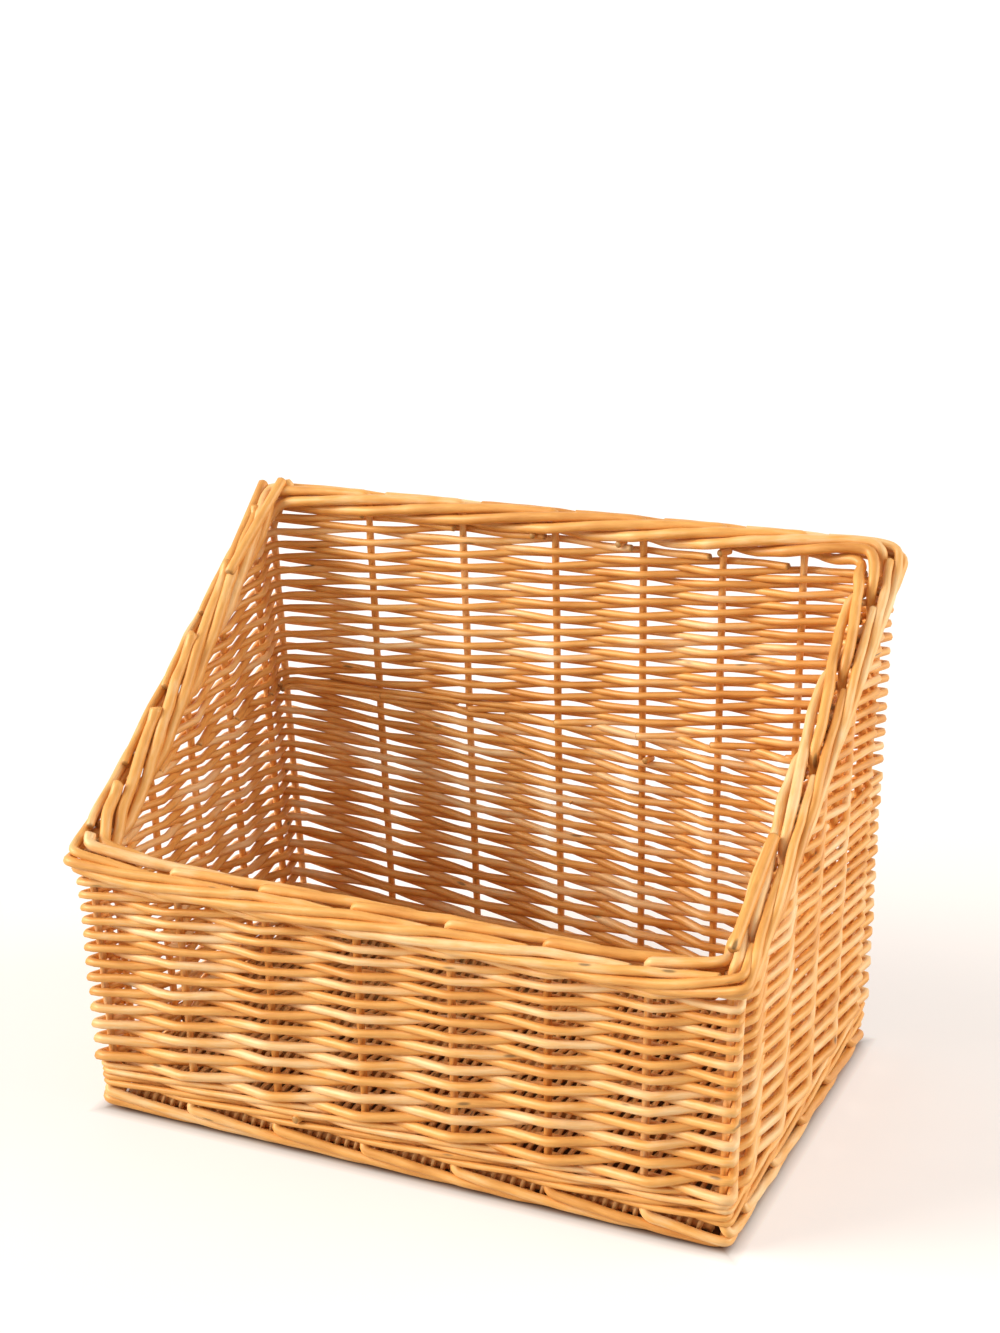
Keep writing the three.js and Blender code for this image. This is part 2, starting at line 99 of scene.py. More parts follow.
# %% [markdown]
# Twenty-six stakes stand on the line: one in each corner, six on the front and back and five on each
# side. A maker pushes them in by eye, so the bays between them are not all alike. Numbering the
# stakes lets a weaver say "stake four and a half" for the middle of a bay, whatever its width.

# %% Places of the stakes
FRONT_BAYS = [1, 1, 1, 1, 1, 1, 0.8]
SIDE_BAYS = [0.5, 1, 1, 1, 1, 0.5]
BACK_BAYS = [0.67, 0.71, 0.72, 0.82, 0.89, 0.93, 1]
CORNER_PLACES = [
    0,
    2 * STRAIGHT_X + ARC,
    2 * STRAIGHT_X + 2 * STRAIGHT_Y + 2 * ARC,
    4 * STRAIGHT_X + 2 * STRAIGHT_Y + 3 * ARC,
    PERIMETER,
]
WALLS = ["front", "right", "back", "left"]
CORNERS = ["front_left", "front_right", "back_right", "back_left"]

stake_names = []
stake_places = []
for wall_index, bays in enumerate([FRONT_BAYS, SIDE_BAYS, BACK_BAYS, SIDE_BAYS]):
    run = CORNER_PLACES[wall_index + 1] - CORNER_PLACES[wall_index]
    shares = np.concatenate([[0], np.cumsum(bays)[:-1]]) / sum(bays)
    stake_places.extend(CORNER_PLACES[wall_index] + run * shares)
    stake_names.append("corner_stake_" + CORNERS[wall_index])
    stake_names.extend(f"{WALLS[wall_index]}_stake_{count}" for count in range(1, len(bays)))
STAKES = len(stake_places)
TURN_NUMBERS = np.arange(-2 * STAKES, 5 * STAKES)
TURN_PLACES = np.array(stake_places)[TURN_NUMBERS % STAKES] + PERIMETER * (TURN_NUMBERS // STAKES)


def place_of(number):
    """Place of a stake number, even in steps between one stake and the next."""
    return np.interp(number, TURN_NUMBERS, TURN_PLACES)


bay_widths = np.diff(stake_places)
print(STAKES, "stakes, bays from", round(bay_widths.min()), "to", round(bay_widths.max()), "mm")

# %% [markdown]
# The rim is low at the front, high at the back and slopes straight up along the sides. The side
# walls also lean out a little. It is easiest to weave a straight basket and lean all of it at the
# end, so the lean is a separate step: points move sideways in proportion to their height. Made by
# hand, the rim isn't quite true: it rises a little in the front corners, where the ends of many stakes
# pile up in the border, and along the back towards the right.

# %% Rim and lean
FRONT_RIM = 168.0
BACK_RIM = 324.0
RIM_SLOPE = (BACK_RIM - FRONT_RIM) / (2 * HALF_DEPTH)
RIM_ROUNDING = np.linspace(-10.0, 10.0, 9)
SIDE_LEAN = 10.2
LEAN = SIDE_LEAN / (BACK_RIM * HALF_WIDTH)
FRONT_HUMP = 5.0
HUMP_SPREAD = 30.0
RIGHT_RISE = 8.0


def rim_height(place):
    """Height of the rim: the mean of the sloping plane over a short stretch, and what isn't true in it."""
    place = np.asarray(place)
    y = line_at(place[..., None] + RIM_ROUNDING)[1]
    height = FRONT_RIM + RIM_SLOPE * (y.mean(axis=-1) + HALF_DEPTH)
    for corner_place in CORNER_PLACES[:2]:
        away = np.mod(place - corner_place + PERIMETER / 2, PERIMETER) - PERIMETER / 2
        height = height + FRONT_HUMP * np.exp(-((away / HUMP_SPREAD) ** 2))
    return height + np.interp(np.mod(place, PERIMETER), CORNER_PLACES, [0, 0, RIGHT_RISE, 0, 0])


def wall_points(place, out, height):
    """Points beside the line of the stakes, and the outward direction of the wall at each."""
    x, y, normal_x, normal_y = line_at(place, out)
    points = np.stack([x, y, height + 0 * x], axis=-1)
    outward = np.stack([normal_x, normal_y, 0 * x], axis=-1)
    return points, outward


def leaned(points):
    """Lean the side walls: x grows in proportion to height."""
    moved = points.copy()
    moved[:, 0] *= 1 + LEAN * points[:, 2]
    return moved


print("rim at the front left corner", rim_height(np.array([0.0])).round(1), "mm high")

# %% [markdown]
# Rods are never quite straight or round, so a few slow waves with seeded phases move each path and
# swell its radius. A Displace modifier with a noise texture could do it too, but it pushes every corner
# of the mesh by itself, where a real rod wanders and thickens over its length.

# %% Waves and paths
CHANCE = np.random.default_rng(26)


def unit(vectors):
    """Vectors divided by their own length."""
    return vectors / np.linalg.norm(vectors, axis=-1, keepdims=True)


def lengths_along(points):
    """Length walked from the first point to each point of a path."""
    steps = np.linalg.norm(np.diff(points, axis=0), axis=1)
    return np.concatenate([[0], np.cumsum(steps)])


def slow_wave(length, size, wavelength):
    """Three sine waves of about the given wavelength, with seeded phases, of the given total size."""
    phase = CHANCE.uniform(0, 2 * math.pi, 3)
    stretch = CHANCE.uniform(0.6, 1.6, 3)
    waves = np.sin(2 * math.pi * length[:, None] / (wavelength * stretch) + phase)
    return size * waves.mean(axis=1)


def evened(columns, step, width):
    """Rows of a path (point first, then what goes with it) at even steps, after a running mean."""
    length = lengths_along(columns[:, :3])
    even = np.linspace(0, length[-1], int(length[-1] / step))
    spaced = np.stack([np.interp(even, length, column) for column in columns.T], axis=1)
    padded = np.pad(spaced, ((width, width), (0, 0)), mode="edge")
    window = np.ones(2 * width + 1) / (2 * width + 1)
    return np.stack([np.convolve(column, window, mode="valid") for column in padded.T], axis=1)


sample_path = np.array([[0.0, 0.0, 0.0], [30.0, 40.0, 0.0]])
print("a path 30 mm along and 40 mm across is", lengths_along(sample_path)[-1], "mm long")

# %% [markdown]
# A rod is a round tube along a path. Blender can bevel a curve into a tube, but then hundreds of rods
# would twist on their own. Here every ring of the tube is set square to the path, with one direction
# always facing out of the wall, so the bark marks run along the rod without twisting. Both ends are
# cut, with a small bevel.

# %% Making rods
THIN_SIDES = 8
THICK_SIDES = 10
BEVEL = 0.3


def with_cut_ends(points, outward, radius):
    """The path and its direction, with a ring more at each end: a bevel further on and a bevel narrower."""
    ahead = unit(np.gradient(points, axis=0))
    radius = radius + 0 * points[:, 0]
    bevel = BEVEL * radius
    first = points[:1] - ahead[:1] * bevel[0]
    last = points[-1:] + ahead[-1:] * bevel[-1]
    points = np.concatenate([first, points, last])
    outward = np.concatenate([outward[:1], outward, outward[-1:]])
    ahead = np.concatenate([ahead[:1], ahead, ahead[-1:]])
    radius = np.concatenate([radius[:1] - bevel[0], radius, radius[-1:] - bevel[-1]])
    return points, outward, ahead, radius


def tube_faces(rings, sides):
    """Corner numbers of the four-sided faces along a tube and of the three-sided faces of its two cuts.

    Corners are counted ring by ring, and the middles of the two cuts come last.
    """
    ring_start = np.arange(rings - 1)[:, None] * sides
    here = ring_start + np.arange(sides)
    beside = ring_start + (np.arange(sides) + 1) % sides
    quads = np.stack([here, beside, beside + sides, here + sides], axis=-1).reshape(-1, 4)
    middle = np.full(sides, rings * sides)
    last_ring = (rings - 1) * sides
    start_cut = np.stack([middle, beside[0], here[0]], axis=-1)
    end_cut = np.stack([middle + 1, last_ring + here[0], last_ring + beside[0]], axis=-1)
    return quads, np.concatenate([start_cut, end_cut])


def tube_marks(length, sides):
    """Part of the way round and length along, for every corner of every face, in the order of the faces."""
    near = np.arange(sides) / sides
    far = (np.arange(sides) + 1) / sides
    low = length[:-1, None]
    high = length[1:, None]
    corner_marks = [(near, low), (far, low), (far, high), (near, high)]
    stacked = [np.stack(np.broadcast_arrays(*mark), axis=-1) for mark in corner_marks]
    quad_marks = np.stack(stacked, axis=2).reshape(-1, 2)
    start_marks = np.tile([0.5, 0.0], (3 * sides, 1))
    end_marks = np.tile([0.5, length[-1]], (3 * sides, 1))
    return np.concatenate([quad_marks, start_marks, end_marks])


def rod(points, outward, radius, sides=THIN_SIDES):
    """Tube along a path: rings of the radius, square to the path, with a bevelled cut at both ends.

    Returns the corners, the four-sided and three-sided faces, the marks of every face corner, and the
    length from every corner to the nearer cut end.
    """
    points, outward, ahead, radius = with_cut_ends(points, outward, radius)
    across = unit(outward - np.sum(outward * ahead, axis=1, keepdims=True) * ahead)
    upward = np.cross(ahead, across)
    turn = np.linspace(0, 2 * math.pi, sides, endpoint=False)
    ring = across[:, None] * np.cos(turn)[:, None] + upward[:, None] * np.sin(turn)[:, None]
    tube = (points[:, None] + radius[:, None, None] * ring).reshape(-1, 3)
    corners = np.concatenate([tube, points[:1], points[-1:]])
    quads, cuts = tube_faces(len(points), sides)
    length = lengths_along(points)
    to_cut = np.concatenate([np.repeat(np.minimum(length, length[-1] - length), sides), [0, 0]])
    return corners, quads, cuts, tube_marks(length, sides), to_cut


def same_facing(direction, count):
    """The same direction for each of so many rings."""
    return np.tile(direction, (count, 1))


UP = [0.0, 0.0, 1.0]
sample_rod = rod(sample_path, same_facing(UP, 2), 2.0)
print("a straight rod has", len(sample_rod[0]), "corners and", len(sample_rod[1]), "faces along it")

# %% [markdown]
# Many rods go into one mesh, because a wall of weaving is one piece of the basket. Each rod keeps a
# tone of its own as an attribute, since no two willow rods dry to the same colour, and a map of
# length along and way round for the grain. Blender's Join would do it as well, but arrays are quicker.

# %% Putting rods into a piece
MM = 0.001
GRAIN = "grain"
TONE = "tone"
CUT = "cut"


def add_attribute(mesh, name, values):
    """One number for every corner of a mesh, under a name that a material can ask for."""
    attribute = mesh.attributes.new(name, "FLOAT", "POINT")
    attribute.data.foreach_set("value", np.concatenate(values).astype(np.float32))


def make_piece(name, rods, nodes, material):
    """One mesh from several rods, in place of the named solids: corner numbers go on from rod to rod."""
    corners, quads, cuts, marks, to_cut = zip(*rods)
    faces = []
    tones = []
    base = 0
    for rod_corners, rod_quads, rod_cuts in zip(corners, quads, cuts):
        faces.extend((rod_quads + base).tolist())
        faces.extend((rod_cuts + base).tolist())
        tones.append(np.full(len(rod_corners), CHANCE.uniform()))
        base += len(rod_corners)
    mesh = bpy.data.meshes.new(name)
    mesh.from_pydata((np.concatenate(corners) * MM).tolist(), [], faces)
    grain_map = mesh.uv_layers.new(name=GRAIN)
    grain_map.data.foreach_set("uv", np.concatenate(marks).astype(np.float32).ravel())
    add_attribute(mesh, TONE, tones)
    add_attribute(mesh, CUT, to_cut)
    mesh.polygons.foreach_set("use_smooth", np.ones(len(faces), dtype=bool))
    mesh.materials.append(material)
    piece = bpy.data.objects.new(name, mesh)
    bpy.context.scene.collection.objects.link(piece)
    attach(piece, "root")
    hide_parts(*nodes)
    triangles = sum(2 * len(one) for one in quads) + sum(len(one) for one in cuts)
    print(name, len(rods), "rods,", triangles, "triangles")
    return piece


print("every piece carries a", GRAIN, "map, a", TONE, "for each rod and the way to its nearer", CUT)

# %% [markdown]
# A material is a small net of nodes. Writing every node and every link in full takes many lines, so
# one helper adds a node with all that goes into it: a number or colour stays in the socket, and a pair
# of a node and the name of its output is joined to it.

# %% Adding nodes
def set_inputs(tree, node, inputs):
    """Put a number or a colour into a socket, or join a pair of node and output to it."""
    for socket, value in inputs.items():
        if isinstance(value, tuple) and isinstance(value[0], bpy.types.Node):
            tree.links.new(value[0].outputs[value[1]], node.inputs[socket])
        else:
            node.inputs[socket].default_value = value


def add_node(tree, kind, inputs, **settings):
    """A new node of a kind, with its own settings and what goes into its sockets."""
    node = tree.nodes.new("ShaderNode" + kind)
    for name, value in settings.items():
        setattr(node, name, value)
    set_inputs(tree, node, inputs)
    return node


def scaled_sum(tree, value, scale, added):
    """A node for value times scale plus added."""
    return add_node(tree, "Math", {0: value, 1: scale, 2: added}, operation="MULTIPLY_ADD")


def new_material(name):
    """A material with its net of nodes, and the skin in it that the colours go into."""
    material = bpy.data.materials.new(name)
    material.use_nodes = True
    return material, material.node_tree, material.node_tree.nodes["Principled BSDF"]


print("materials before the willow:", len(bpy.data.materials))

# %% [markdown]
# Peeled and boiled willow is called buff: golden brown, darker where the bark held on, with fine
# streaks along the rod and small dark scars where buds sat. A painted picture would stretch at the
# bends, so the colour is worked out from the rod's own map: noise drawn out along the length for the
# streaks, wide patches for the drying, and far apart cells, dark only in their middles, for the scars.
# Cut ends are dark, so the colour falls off in the last millimetre and a half before a cut. The smooth
# skin has a soft sheen of a warm colour, which keeps lit rods golden.

# %% Willow
TONE_APART = 90.0
STREAK_STRETCH = (5.0, 0.035, 0.0)
SCAR_STRETCH = (1.2, 0.02, 0.0)
TONE_SHARE = 0.34
STREAK_SHARE = 0.55
PATCH_SHARE = 0.5
DARKER = -0.2
WARM_SHEEN = (1.0, 0.86, 0.62, 1.0)


def rod_map(tree, grain, own_place, stretch):
    """The rod's map, stretched, and moved to a place of the rod's own in the noise."""
    inputs = {0: (grain, "UV"), 1: stretch, 2: (own_place, "Vector")}
    return add_node(tree, "VectorMath", inputs, operation="MULTIPLY_ADD"), "Vector"


def willow_colours(tree, mixed, pale, golden, brown):
    """A ramp from brown over golden to pale."""
    colours = add_node(tree, "ValToRGB", {"Fac": (mixed, "Value")})
    ends = colours.color_ramp.elements
    ends[0].position = 0.12
    ends[0].color = (*brown, 1.0)
    ends[1].position = 0.86
    ends[1].color = (*pale, 1.0)
    ends.new(0.5).color = (*golden, 1.0)
    return colours


def dark_marks(tree, scar_map):
    """A node that is 1 on plain skin and less near a cut end and on a bud scar."""
    cut = add_node(tree, "Attribute", {}, attribute_name=CUT)
    near_cut = add_node(tree, "MapRange", {
        "Value": (cut, "Fac"), "From Max": 1.5, "To Min": 0.5, "To Max": 1.0,
    })
    scars = add_node(tree, "TexVoronoi", {"Vector": scar_map, "Scale": 1.0})
    near_scar = add_node(tree, "MapRange", {
        "Value": (scars, "Distance"), "From Min": 0.05, "From Max": 0.10, "To Min": 0.35, "To Max": 1.0,
    })
    both = {0: (near_cut, "Result"), 1: (near_scar, "Result")}
    return add_node(tree, "Math", both, operation="MULTIPLY")


def make_willow(name, pale, golden, brown, roughness):
    """Willow skin: streaks along the rod and a tone for each rod choose between three colours."""
    material, tree, skin = new_material(name)
    grain = add_node(tree, "UVMap", {}, uv_map=GRAIN)
    tone = add_node(tree, "Attribute", {}, attribute_name=TONE)
    own = add_node(tree, "CombineXYZ", {"Z": (tone, "Fac")})
    own_place = add_node(tree, "VectorMath", {0: (own, "Vector"), "Scale": TONE_APART}, operation="SCALE")
    streak_map = rod_map(tree, grain, own_place, STREAK_STRETCH)
    streaks = add_node(tree, "TexNoise", {
        "Vector": streak_map, "Scale": 1.6, "Detail": 4.0, "Roughness": 0.6,
    })
    place = add_node(tree, "TexCoord", {})
    patches = add_node(tree, "TexNoise", {"Vector": (place, "Object"), "Scale": 38.0, "Detail": 2.0})
    mixed = scaled_sum(tree, (patches, "Fac"), PATCH_SHARE, DARKER)
    mixed = scaled_sum(tree, (streaks, "Fac"), STREAK_SHARE, (mixed, "Value"))
    mixed = scaled_sum(tree, (tone, "Fac"), TONE_SHARE, (mixed, "Value"))
    colours = willow_colours(tree, mixed, pale, golden, brown)
    marks = dark_marks(tree, rod_map(tree, grain, own_place, SCAR_STRETCH))
    marked = {0: (colours, "Color"), "Scale": (marks, "Value")}
    darkened = add_node(tree, "VectorMath", marked, operation="SCALE")
    dull = add_node(tree, "MapRange", {
        "Value": (streaks, "Fac"), "To Min": roughness - 0.1, "To Max": roughness + 0.15,
    })
    relief = add_node(tree, "Bump", {"Height": (streaks, "Fac"), "Strength": 0.4, "Distance": 0.0004})
    set_inputs(tree, skin, {
        "Base Color": (darkened, "Vector"), "Roughness": (dull, "Result"), "Normal": (relief, "Normal"),
        "Specular IOR Level": 0.85, "Specular Tint": WARM_SHEEN,
    })
    return material


# Pale, golden and brown of the weavers, of the heavier rods and of the base, which is duller
WEAVER_COLOURS = [(0.96, 0.73, 0.43), (0.85, 0.42, 0.105), (0.56, 0.18, 0.018)]
HEAVY_COLOURS = [(0.96, 0.72, 0.41), (0.84, 0.41, 0.10), (0.54, 0.175, 0.018)]
BASE_COLOURS = [(0.80, 0.48, 0.19), (0.64, 0.30, 0.08), (0.36, 0.13, 0.025)]
willow = make_willow("weave_willow", *WEAVER_COLOURS, 0.42)
stake_willow = make_willow("stake_willow", *HEAVY_COLOURS, 0.42)
upsett_willow = make_willow("upsett_willow", *HEAVY_COLOURS, 0.45)
base_willow = make_willow("base_willow", *BASE_COLOURS, 0.55)
print("four willow skins of", len(willow.node_tree.nodes), "nodes each")

# %% [markdown]
# A weaver runs nearly straight between stakes and bends sharply round each of them. That is a triangle
# wave with rounded tips, which catches the light on one side of each stake as willow does. A sine wave
# would be simpler, but it looks like soft cord. Here and there a rod ends, and its cut end sticks
# straight out of the wall.

# %% A weaver
STAKE_RADIUS = 2.25
SAMPLES = 12
SHORTEST_RUN = SAMPLES // 3
CLEARANCE = 0.8
TIP_ROUNDING = 0.996
CUT_END_RINGS = 6
# Size and wavelength of the slow waves in and out, up and down, and in the radius
WEAVER_OUT_WAVE = (0.5, 60.0)
WEAVER_UP_WAVE = (0.9, 80.0)
WEAVER_SWELL = (0.14, 45.0)


def zigzag(row):
    """Wave from 1 to -1 and back in two rows: straight flanks with tips rounded off."""
    return np.arcsin(TIP_ROUNDING * np.cos(math.pi * row)) / math.asin(TIP_ROUNDING)


def weaver(number, row, height, radius):
    """A weaver: in at even rows and out at odd ones, at the height of its row, with slow waves."""
    place = place_of(number)
    length = np.abs(place - place[0])
    reach = STAKE_RADIUS + radius + CLEARANCE
    out = -reach * zigzag(row) + slow_wave(length, *WEAVER_OUT_WAVE)
    points, outward = wall_points(place, out, height + slow_wave(length, *WEAVER_UP_WAVE))
    swell = radius + slow_wave(length, *WEAVER_SWELL)
    return rod(leaned(points), outward, swell)


def runs_of(kept):
    """Every unbroken run of kept samples that is long enough to hold in a wall."""
    padded = np.concatenate([[False], kept, [False]]).astype(int)
    change = np.diff(padded)
    ends = zip(np.flatnonzero(change == 1), np.flatnonzero(change == -1))
    return [slice(first, last) for first, last in ends if last - first > SHORTEST_RUN]


def cut_end(number, start, end, height, radius):
    """The short end of a rod that sticks straight out of the wall, between two distances from its line."""
    places = place_of(np.full(CUT_END_RINGS, number))
    points, _ = wall_points(places, np.linspace(start, end, CUT_END_RINGS), height)
    return rod(leaned(points), same_facing(UP, CUT_END_RINGS), radius, THICK_SIDES)


print("the middle of a 4 mm weaver passes", STAKE_RADIUS + 2.0 + CLEARANCE, "mm from that of a stake")

# %% [markdown]
# The wall below the front rim is French randing: there is one weaver for every stake, and each goes
# in front of one stake, behind the next, and climbs one row in every bay. So all stakes show their
# front strokes at the same heights. Rods start at their thick end, so the rows get finer upwards.
# Weavers end where the border begins, which leaves less room for them at the front. Three cut ends
# stick out on the inside of the back, one of them a thin sliver.

# %% Lower weave
BORDER_ROOM = 12.8
BACK_REACH = 3.5
SIDE_REACH = 2.5
LOWER_BOTTOM = 29.6
LOWER_TOP = 191.0
LOWER_ROWS = 34.6
FINE_ROW = 20.0
FIRST_STEP = 5.85
STEP_LOSS = 0.0425
FINE_STEP = 4.15
THICK_RADIUS = 3.05
RADIUS_LOSS = 0.035
INSIDE_START = -1.0
INSIDE_END = -8.0
# Stake number, height and radius of each cut end
LOWER_CUT_ENDS = [(15.85, 174.0, 2.1), (16.8, 137.0, 0.8), (19.55, 27.0, 2.4)]


def lower_height(row):
    """Height of a row above the ground: the spacing falls evenly up to the fine rows, then stays."""
    early = np.minimum(row, FINE_ROW)
    late = np.maximum(row - FINE_ROW, 0.0)
    return LOWER_BOTTOM + FIRST_STEP * early - STEP_LOSS * early**2 + FINE_STEP * late


def lower_radius(row):
    """Rods fill most of the spacing of their rows: thick at the bottom, thin at the top."""
    return THICK_RADIUS - RADIUS_LOSS * np.clip(row, 0.0, FINE_ROW)


def weave_room(place):
    """Height at which the border begins, and weavers end: higher along the back and the sides."""
    _, _, normal_x, normal_y = line_at(place)
    back_reach = BACK_REACH * np.maximum(normal_y, 0.0)
    return rim_height(place) - BORDER_ROOM + back_reach + SIDE_REACH * np.abs(normal_x)


lower_rods = []
for weaver_index in range(STAKES):
    row = np.arange(0.0, LOWER_ROWS, 1 / SAMPLES)
    number = weaver_index + row
    height = lower_height(row)
    kept = (height < weave_room(place_of(number))) & (height < LOWER_TOP)
    for span in runs_of(kept):
        lower_rods.append(weaver(number[span], row[span], height[span], lower_radius(row[span])))
for number, height, radius in LOWER_CUT_ENDS:
    lower_rods.append(cut_end(number, INSIDE_START, INSIDE_END, height, radius))
make_piece("lower_weave", lower_rods, ["lower_weave_" + wall for wall in WALLS], willow)

# %% [markdown]
# Above the front rim a second set of weavers begins, thinner, and laid the other way round: it
# climbs clockwise. Makers turn the work like this so that the two sets pull against each other and
# the basket doesn't twist. The same weaver is used, with the rows counted the other way.

# %% Rows of the upper weave
UPPER_START = 189.5
UPPER_STEP = 4.35
UPPER_RADIUS = 2.3
UPPER_ROWS = 28.0

upper_rods = []
for weaver_index in range(STAKES):
    row = np.arange(0.0, UPPER_ROWS, 1 / SAMPLES)
    number = weaver_index - row
    height = UPPER_START + UPPER_STEP * row
    kept = height < weave_room(place_of(number))
    for span in runs_of(kept):
        upper_rods.append(weaver(number[span], row[span], height[span], UPPER_RADIUS))
print(len(upper_rods), "rods in the second set")

# %% [markdown]
# The upsett is the heavier band that holds the stakes upright while the wall is started. It is a
# three-rod wale: each rod passes in front of two stakes and behind one, over the two other rods.
# With 26 stakes a path comes out in step after three turns, so each of the two rounds is one long path,
# laid with six rods that are joined on the inside. Its way in and out is a short sum of cosines with a
# period of three bays. At the front one thick butt end of a rod shows between two stakes.

# %% Upsett
UPSETT_RADIUS = 1.9
UPSETT_BOTTOM = 16.5
UPSETT_ROUNDS = 2
UPSETT_JOINS = [0, 12, 24, 39, 51, 63, 78]
JOIN_START = 0.06
JOIN_END = 0.02
WALE_PERIOD = 3
WALE_OUT = [0.333, 1.075, 0.258]
WALE_UP = 1.1547
# Size and wavelength of the slow waves up and down and in the radius
WALE_UP_WAVE = (0.3, 70.0)
WALE_SWELL = (0.12, 50.0)
# Stake number, where it starts and ends from the line of the stakes, height and radius
BUTT_END = (2.3, 1.0, 7.6, 24.0, 2.5)


def wale(number, middle_height, radius):
    """A rod of a wale: two bays on the outside of the stakes and one bay on the inside.

    Out and in by a mean and a sum of two cosines, up and down by a sine, all with a period of three bays.
    """
    angle = 2 * math.pi * number / WALE_PERIOD
    mean, first, second = WALE_OUT
    out = (STAKE_RADIUS + radius) * (mean - first * np.cos(angle) - second * np.cos(2 * angle))
    place = place_of(number)
    length = np.abs(place - place[0])
    height = middle_height - WALE_UP * radius * np.sin(angle) + slow_wave(length, *WALE_UP_WAVE)
    points, outward = wall_points(place, out, height)
    return rod(leaned(points), outward, radius + slow_wave(length, *WALE_SWELL))


upsett_rods = []
for round_index in range(UPSETT_ROUNDS):
    middle_height = UPSETT_BOTTOM + UPSETT_RADIUS * (2 + 4 * round_index)
    for begin, end in zip(UPSETT_JOINS[:-1], UPSETT_JOINS[1:]):
        number = np.arange(begin + JOIN_START, end - JOIN_END, 1 / SAMPLES)
        upsett_rods.append(wale(number, middle_height, UPSETT_RADIUS))
upsett_rods.append(cut_end(*BUTT_END))
make_piece("upsett", upsett_rods, ["upsett_" + wall for wall in WALLS], upsett_willow)

# %% [markdown]
# Where the second set begins, two straight rods lie inside the back left corner over the starts of
# the weavers, and their tips go out between two stakes. Under the back border three more cut ends stick
# out on the inside. All of them go into the same mesh as the upper weave. A laid rod only needs a few
# places by name: stake number, distance out and height.

# %% Starting rods and upper weave
STARTING_RADIUS = 1.9
LAID_SAMPLES = 60
LAID_STEP = 2.5
LAID_ROUNDING = 2
# Stake numbers, distances out and heights of each starting rod
STARTING_RODS = [
    ([20.4, 20.0, 19.0, 18.4, 18.1], [-5.0, -4.8, -4.6, -3.0, 0.5], [187.5, 188.2, 190.0, 191.0, 191.5]),
    ([20.5, 20.0, 19.0, 17.4, 17.1], [-5.0, -4.8, -4.8, -3.0, 0.5], [191.3, 192.0, 193.2, 195.0, 195.5]),
]
# Stake number, height and radius of each cut end
UPPER_CUT_ENDS = [(16.2, 313.0, 2.2), (14.9, 315.0, 2.2), (17.2, 312.0, 2.0)]


def laid_rod(numbers, outs, heights, radius):
    """A rod through a few named places, joined by straight lines and rounded by a running mean."""
    share = np.linspace(0, len(numbers) - 1, LAID_SAMPLES)
    corners = np.arange(len(numbers))
    number = np.interp(share, corners, numbers)
    out = np.interp(share, corners, outs)
    points, outward = wall_points(place_of(number), out, np.interp(share, corners, heights))
    path = evened(np.concatenate([points, outward], axis=1), LAID_STEP, LAID_ROUNDING)
    return rod(leaned(path[:, :3]), path[:, 3:], radius, THICK_SIDES)


for numbers, outs, heights in STARTING_RODS:
    upper_rods.append(laid_rod(numbers, outs, heights, STARTING_RADIUS))
for number, height, radius in UPPER_CUT_ENDS:
    upper_rods.append(cut_end(number, INSIDE_START, INSIDE_END, height, radius))
make_piece("upper_weave", upper_rods, ["upper_weave_" + wall for wall in WALLS[1:]], willow)

# %% [markdown]
# A stake is one rod from the ground to the rim and back down. Its foot end is kinked to the right and
# lies along the ground below the next stakes, so that all the foot ends together make the border that
# the basket stands on. From the kink it comes up inwards to the line of the stakes.

# %% Foot of a stake
FOOT_OUT = 4.6
FOOT_TOP = 12.4
FOOT_BAYS = 2.8
FOOT_FIRST_BAY = 0.05
FOOT_TRAVEL = 5.6
FOOT_DROP = 3.2
FOOT_ROLL = 6.0
FOOT_RADIUS = 3.1
FOOT_TIP_RADIUS = 2.5
FOOT_SAMPLES = 60


def path_rows(place, out, height, radius):
    """Rows of a path beside the line of the stakes: point, outward direction and radius."""
    points, outward = wall_points(place, out, height)
    return np.concatenate([points, outward, radius[:, None]], axis=1)


def foot_lay(bays):
    """Foot end after some bays: first straight down, then round a quarter turn and level inwards."""
    travel = bays * FOOT_TRAVEL
    down = np.minimum(travel, FOOT_DROP)
    angle = np.clip((travel - FOOT_DROP) / FOOT_ROLL, 0.0, RIGHT_ANGLE)
    inwards = np.maximum(travel - FOOT_DROP - FOOT_ROLL * RIGHT_ANGLE, 0.0)
    out = FOOT_OUT - FOOT_ROLL * (1 - np.cos(angle)) - inwards
    return out, FOOT_TOP - down - FOOT_ROLL * np.sin(angle)


def foot_rows(stake):
    """The foot end, from its tip to the kink."""
    bays = np.linspace(FOOT_BAYS, FOOT_FIRST_BAY, FOOT_SAMPLES)
    out, height = foot_lay(bays)
    radius = np.interp(bays, [0.0, FOOT_BAYS], [FOOT_RADIUS, FOOT_TIP_RADIUS])
    return path_rows(place_of(stake + bays), out, height, radius)


tip_height = foot_lay(np.array([FOOT_BAYS]))[1][0]
print("the middle of a foot end's tip is", round(tip_height, 1), "mm above the ground")

# %% [markdown]
# The upright part ends in a head, where the stake turns over into the border. Where the rim falls away
# in the direction of the lay, as on the left side, the head stands higher before it turns down, is a
# little thicker, and leans back up the slope. Where the rim rises in that direction it stands lower.

# %% Upright of a stake
KNEE_HEIGHTS = [14.2, 17.0, 20.0]
KNEE_OUTS = [3.0, 0.8, 0.0]
BORDER_RADIUS = 3.15
UPRIGHT_RADIUS = 2.3
THICK_FOOT = 15.0
THIN_FROM = 30.0
HEAD_LENGTH = 14.0
HEAD_DROP = 2.2
HEAD_RISE = 4.4
HEAD_SWELL = 0.35
HEAD_LEAN = 0.3
LEAN_HEIGHT = 30.0
UPRIGHT_SAMPLES = 60


